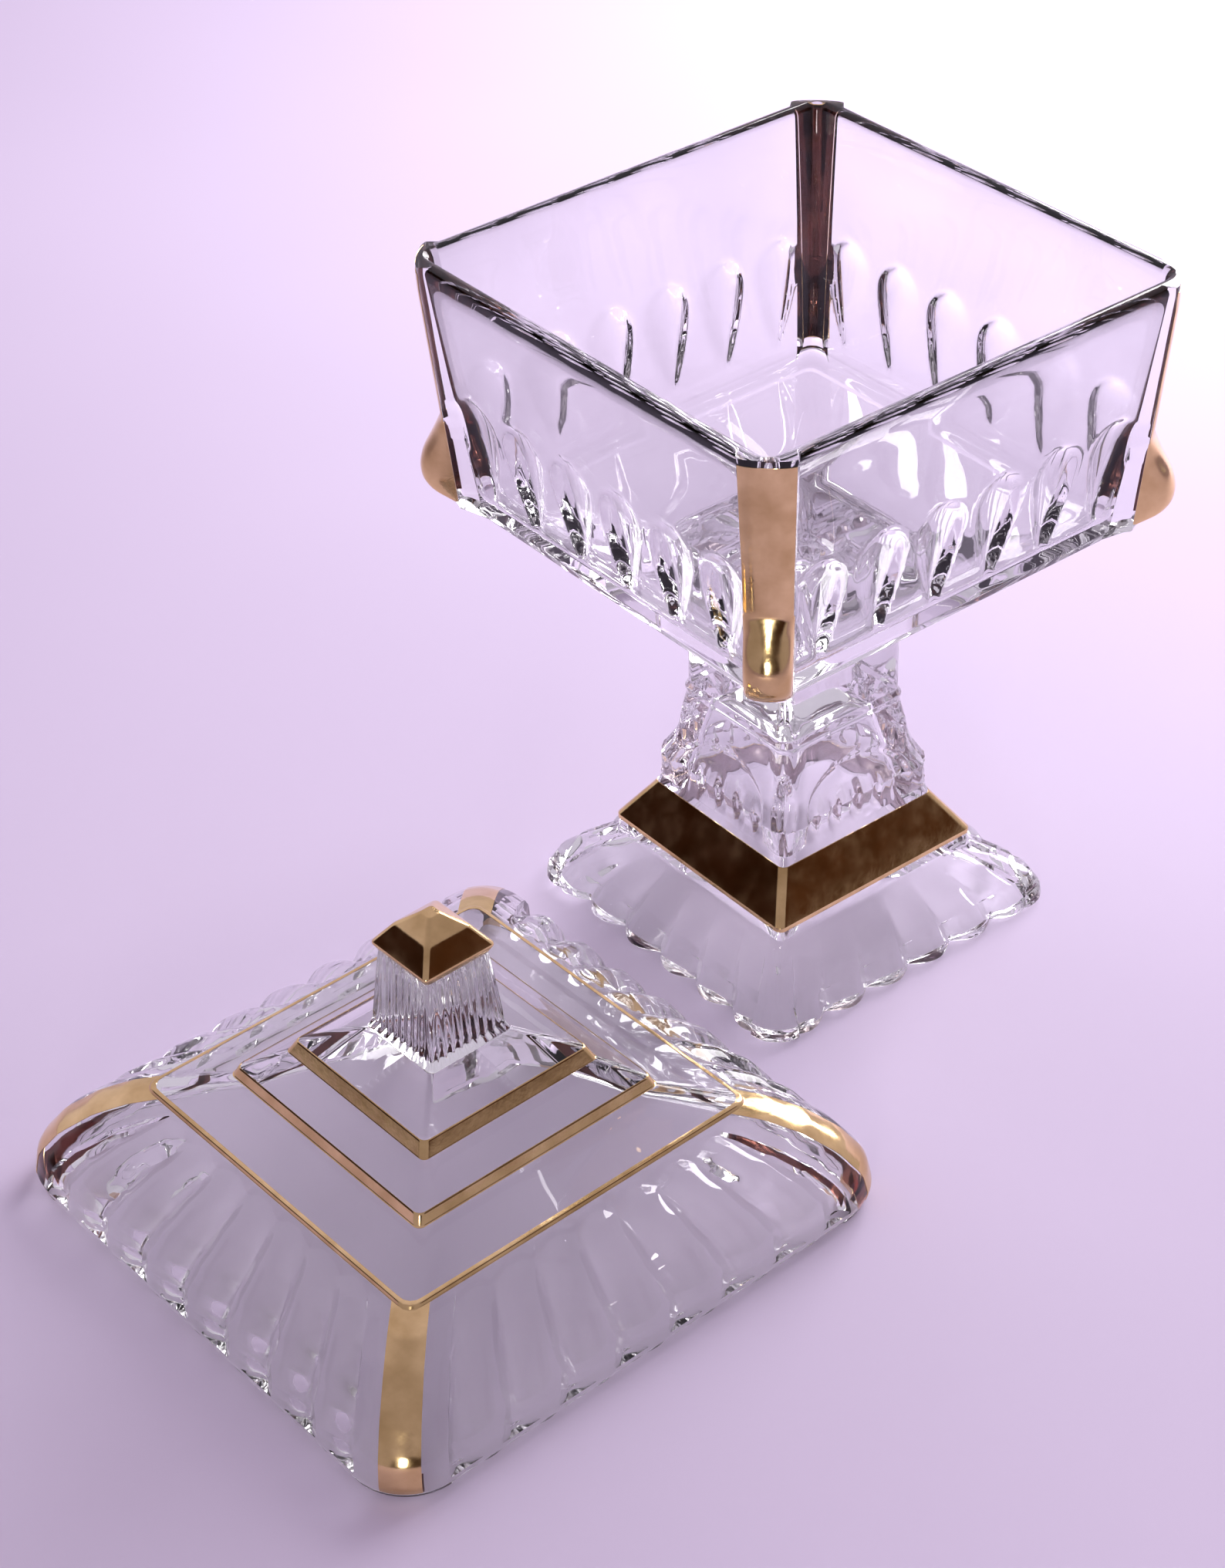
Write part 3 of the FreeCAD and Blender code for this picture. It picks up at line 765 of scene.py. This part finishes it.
def make_lid(glass, gold):
    """The lid: its glass, the cap of its knob, its gold lines and the corner stripes."""
    rows, grid = make_lid_grid()
    dress(closed_glass("lid_glass_body", grid), "lid", "clear_glass", glass,
          "lid_glass", "lid_finial")
    normals = grid_normals(grid)
    z, half, up = (face_rows(rows, key) for key in ("height", "half", "up"))
    outside = up > -0.3

    def round_about(name, chosen_rows, node, cap_end=None):
        chosen = np.repeat(chosen_rows[:, None], 4 * QUARTER, axis=1)
        dress(gold_skin(name, grid, normals, chosen, cap_end), "lid", "fired_gold", gold, node)

    above = np.arange(len(z)) < len(z) // 2
    round_about("knob_cap", above & (z > 58.6) & (half < 10), "finial_cap_gilding", 0)
    round_about("upper_step_gold", above & (z > 32.9) & (z < 35.7) & (half > 18),
                "lid_upper_step_gilding")
    round_about("lower_step_gold", above & (z > 26.6) & (z < 28.9) & (half > 27),
                "lid_lower_step_gilding")
    round_about("lid_line", outside & (half > 40.1) & (half < 41.35) & (z > 22.3),
                "lid_line_gilding")
    stripe = outside & (z > 1.6) & (z < 22.6) & (half > LINE_HALF)
    for place, quarter in QUARTERS.items():
        chosen = stripe[:, None] & corner_faces(quarter, STRIPE_SHARE)
        dress(gold_skin(f"lid_stripe_{place}", grid, normals, chosen), "lid", "fired_gold",
              gold, f"lid_gilding_{place}")


# Bearing of the camera's view, counter-clockwise from +Y, and how far it looks down and
# rolls, in degrees. Its place in metres and its lens in millimetres.
CAMERA_HEADING, CAMERA_DOWN, CAMERA_ROLL = 52.532, 36.470, -2.059
CAMERA_PLACE = (0.42493, -0.37382, 0.44568)
CAMERA_LENS = 75.96


def heading_at(bearing):
    """Level unit vector at this many degrees counter-clockwise from +Y."""
    angle = math.radians(bearing)
    return -math.sin(angle), math.cos(angle)


def add_table():
    """A wide pale floor just under the foot."""
    reach = 4.0
    drop = -0.0003
    mesh = bpy.data.meshes.new("table")
    corners = [(x * reach, y * reach, drop) for x, y in ((-1, -1), (1, -1), (1, 1), (-1, 1))]
    mesh.from_pydata(corners, [], [(0, 1, 2, 3)])
    table = bpy.data.objects.new("table", mesh)
    mesh.materials.append(table_paper())
    bpy.context.scene.collection.objects.link(table)


def add_softbox(name, position, target, width, height, power, colour):
    """Rectangular soft light at the position, facing the target."""
    light = bpy.data.lights.new(name, "AREA")
    light.shape = "RECTANGLE"
    light.size, light.size_y = width, height
    light.energy = power
    light.color = colour
    lamp = bpy.data.objects.new(name, light)
    away = np.array(position) - np.array(target)
    away = away / np.linalg.norm(away)
    side = np.cross([0.0, 0.0, 1.0], away)
    side = side / np.linalg.norm(side)
    top = np.cross(away, side)
    turn = np.eye(4)
    turn[:3, 0], turn[:3, 1], turn[:3, 2], turn[:3, 3] = side, top, away, position
    lamp.matrix_world = Matrix(turn.tolist())
    lamp.visible_camera = False
    bpy.context.scene.collection.objects.link(lamp)


# Dark patches of the surround: bearing from the camera's, height, the cosines of the
# angles from its middle where it starts and where it is darkest, and its colour.
DARK_PATCHES = (
    (-93, 17, 0.945, 0.982, (0.03, 0.012, 0.008)),
    (68, 25, 0.945, 0.982, (0.08, 0.035, 0.02)),
    (0, 4, 0.86, 0.95, (0.05, 0.022, 0.012)),
)
# Share of the patches' darkness that is left where they are seen through glass.
PATCH_THROUGH_GLASS = 0.45
SURROUND_STRENGTH = 0.8


def add_surround(world):
    """Surround of the studio: pale behind the box, dimmer before it, with dark patches.

    Its colour goes from the front's to the back's with the direction's lean towards
    the back, and to near black inside each patch. The gold mirrors the patches in
    full, the glass passes them on weakly, and the camera doesn't see them.
    """
    world.use_nodes = True
    nodes, links = world.node_tree.nodes, world.node_tree.links
    place = nodes.new("ShaderNodeTexCoord").outputs["Generated"]
    path = nodes.new("ShaderNodeLightPath")

    def lean(direction, low, high):
        dot = nodes.new("ShaderNodeVectorMath")
        dot.operation = "DOT_PRODUCT"
        dot.inputs[1].default_value = direction
        links.new(place, dot.inputs[0])
        ease = nodes.new("ShaderNodeMapRange")
        ease.interpolation_type = "SMOOTHSTEP"
        ease.inputs["From Min"].default_value = low
        ease.inputs["From Max"].default_value = high
        links.new(dot.outputs["Value"], ease.inputs["Value"])
        return ease.outputs["Result"]

    def combine(operation, first, second):
        node = nodes.new("ShaderNodeMath")
        node.operation = operation
        node.use_clamp = True
        links.new(first, node.inputs[0])
        links.new(second, node.inputs[1])
        return node.outputs[0]

    def blend(share, first, second):
        mix = nodes.new("ShaderNodeMix")
        mix.data_type = "RGBA"
        links.new(share, mix.inputs["Factor"])
        sockets = [socket for socket in mix.inputs if socket.type == "RGBA"]
        for socket, colour in zip(sockets, (first, second)):
            if isinstance(colour, tuple):
                socket.default_value = (*colour, 1)
            else:
                links.new(colour, socket)
        return next(socket for socket in mix.outputs if socket.type == "RGBA")

    weaken = nodes.new("ShaderNodeMapRange")
    weaken.inputs["To Min"].default_value = 1.0
    weaken.inputs["To Max"].default_value = PATCH_THROUGH_GLASS
    links.new(path.outputs["Is Transmission Ray"], weaken.inputs["Value"])
    weight = combine("SUBTRACT", weaken.outputs["Result"], path.outputs["Is Camera Ray"])

    ahead = (*heading_at(CAMERA_HEADING), 0.0)
    colour = blend(lean(ahead, -0.3, 0.6), (0.50, 0.44, 0.50), (0.86, 0.78, 0.92))
    for turn, rise, start, full, shade in DARK_PATCHES:
        height = math.radians(rise)
        level = heading_at(CAMERA_HEADING + 180 + turn)
        middle = (*(math.cos(height) * part for part in level), math.sin(height))
        colour = blend(combine("MULTIPLY", lean(middle, start, full), weight), colour, shade)
    links.new(colour, nodes["Background"].inputs["Color"])
    nodes["Background"].inputs["Strength"].default_value = SURROUND_STRENGTH


def add_light():
    """A soft window behind and to the right, a strip before the box, and the surround."""
    middle = (0.0, -0.05, 0.08)
    add_softbox("window", (-0.2, 0.62, 0.42), middle, 0.5, 0.5, 8.6, (1.0, 0.97, 1.0))
    add_softbox("strip", (0.82, -0.88, 0.30), middle, 0.16, 0.36, 3.6, (1.0, 0.97, 0.93))
    world = bpy.data.worlds.new("surround")
    add_surround(world)
    bpy.context.scene.world = world


def add_camera():
    """Camera at a three-quarter view, well above the rim."""
    data = bpy.data.cameras.new("camera")
    data.sensor_width = 36.0
    data.sensor_fit = "AUTO"
    data.lens = CAMERA_LENS
    data.clip_start = 0.01
    camera = bpy.data.objects.new("camera", data)
    heading, down, roll = map(math.radians, (CAMERA_HEADING, CAMERA_DOWN, CAMERA_ROLL))
    turn = Matrix.Rotation(heading, 4, "Z") @ Matrix.Rotation(math.pi / 2 - down, 4, "X")
    place = Matrix.Translation(CAMERA_PLACE)
    camera.matrix_world = place @ turn @ Matrix.Rotation(roll, 4, "Z")
    bpy.context.scene.collection.objects.link(camera)
    bpy.context.scene.camera = camera


# The first finish of the gold is its outside's. The second is that of its inside, which
# is seen through the glass.
glass = [pressed_glass()]
gold = [
    fired_gold("fired_bright_gold", (0.62, 0.42, 0.19), (0.90, 0.65, 0.34)),
    fired_gold("gold_under_glass", (0.10, 0.035, 0.03), (0.20, 0.08, 0.06)),
]
thin_gold = [gold[0], fired_gold("pale_gold_under_glass", (0.42, 0.34, 0.34), (0.56, 0.46, 0.47))]
make_base(glass, gold, thin_gold)
make_lid(glass, gold)
add_table()
add_light()
add_camera()
bpy.context.scene.view_settings.view_transform = "Standard"
# Thick glass sends light round inside it many times before letting it out.
bpy.context.scene.cycles.max_bounces = 32
bpy.context.scene.cycles.transmission_bounces = 32
bpy.context.scene.cycles.glossy_bounces = 8
